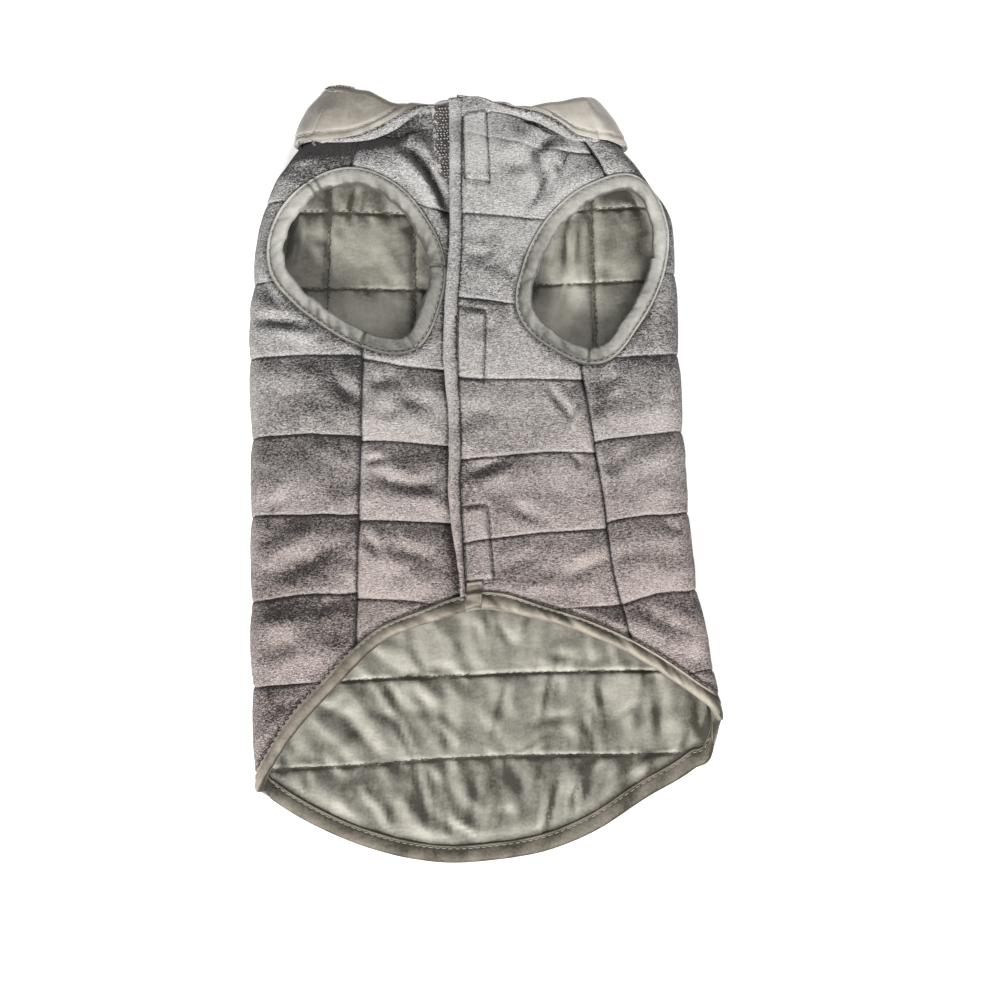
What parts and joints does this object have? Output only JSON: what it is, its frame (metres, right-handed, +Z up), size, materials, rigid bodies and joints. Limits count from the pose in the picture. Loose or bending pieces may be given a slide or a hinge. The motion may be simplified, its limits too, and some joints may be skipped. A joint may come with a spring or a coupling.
{
  "type": "weighted dog vest",
  "caption": "Quilted plush dog vest laid flat belly side up: lapped hook-and-loop front, rolled-out collar, bound armholes and a bound hem.",
  "frame": {"origin": "centre of the whole vest's box in plan, on the surface that it lies on", "axes": "+Y from the hem to the neck, +Z up from the surface, +X towards the panel that laps over"},
  "size_m": [0.2315, 0.3927, 0.0344],
  "materials": {
    "plush": "short-pile velour, warm taupe grey with a mauve cast and a silvery nap",
    "lining": "smooth woven lining, grey khaki with a faint sheen",
    "binding": "strip of the lining cloth, folded over the edge and topstitched",
    "hook_tape": "dark grey hook tape",
    "loop_tape": "dark grey loop tape"
  },
  "bodies": {
    "root": {"back_panel": "plush", "belly_left": "plush", "belly_right": "plush", "placket_band": "plush", "collar": "plush", "back_lining": "lining", "collar_lining": "lining", "armhole_binding_left": "binding", "armhole_binding_right": "binding", "hem_binding": "binding", "hem_tab": "binding", "hook_top": "hook_tape", "hook_middle": "hook_tape", "hook_low": "hook_tape", "loop_top": "loop_tape", "loop_middle": "loop_tape", "loop_low": "loop_tape"}
  },
  "joints": []
}
